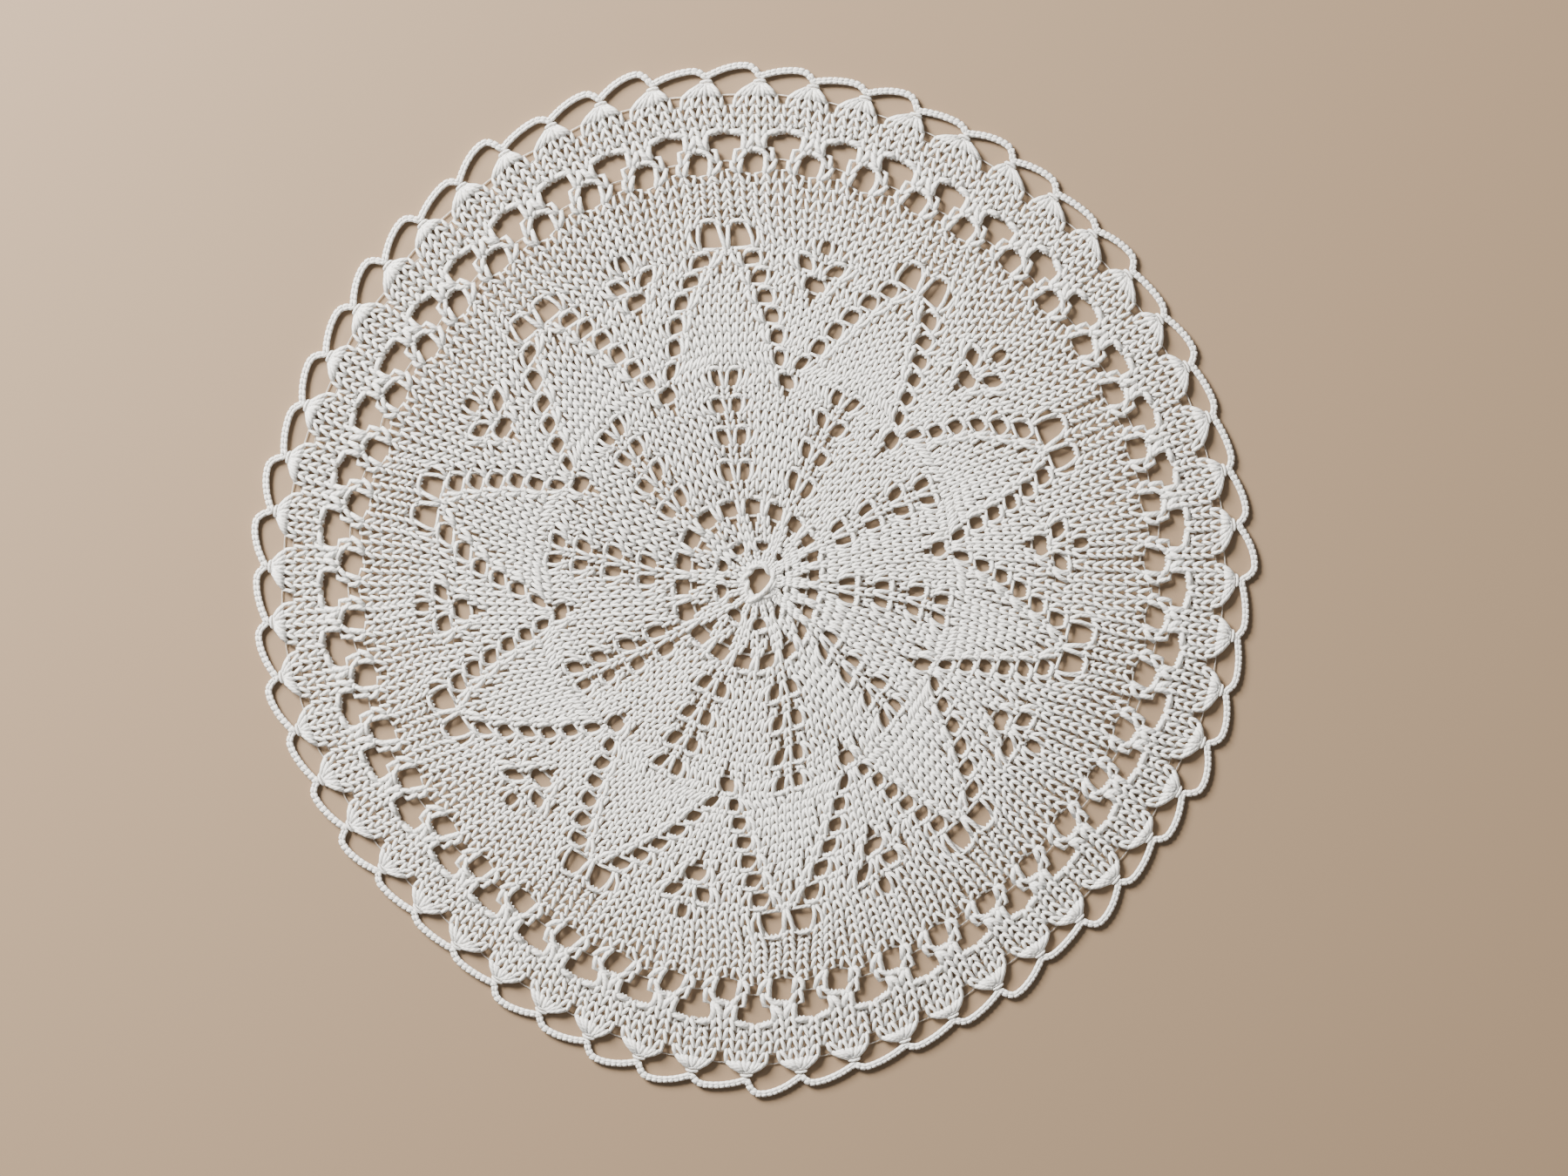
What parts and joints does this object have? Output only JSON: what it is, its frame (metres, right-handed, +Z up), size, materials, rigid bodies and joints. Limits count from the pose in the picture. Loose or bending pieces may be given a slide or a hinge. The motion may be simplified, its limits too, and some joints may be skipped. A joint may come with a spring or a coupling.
{
  "type": "knitted lace doily",
  "caption": "Flat round doily of knitted lace with leaf motifs, a ring of eyelets and a crocheted chain edge of small loops.",
  "frame": {"origin": "middle of the doily's bounding box, on the surface that it lies on", "axes": "+Z up out of the cloth's face, +Y towards the doily's slightly longer side's end, +X to its right"},
  "size_m": [0.1786, 0.1836, 0.0013],
  "materials": {
    "cotton_knit": "off-white mercerised cotton, knitted",
    "cotton_chain": "off-white mercerised cotton, crocheted"
  },
  "bodies": {
    "root": {"knitted_round": "cotton_knit", "crochet_edging": "cotton_chain"}
  },
  "joints": []
}
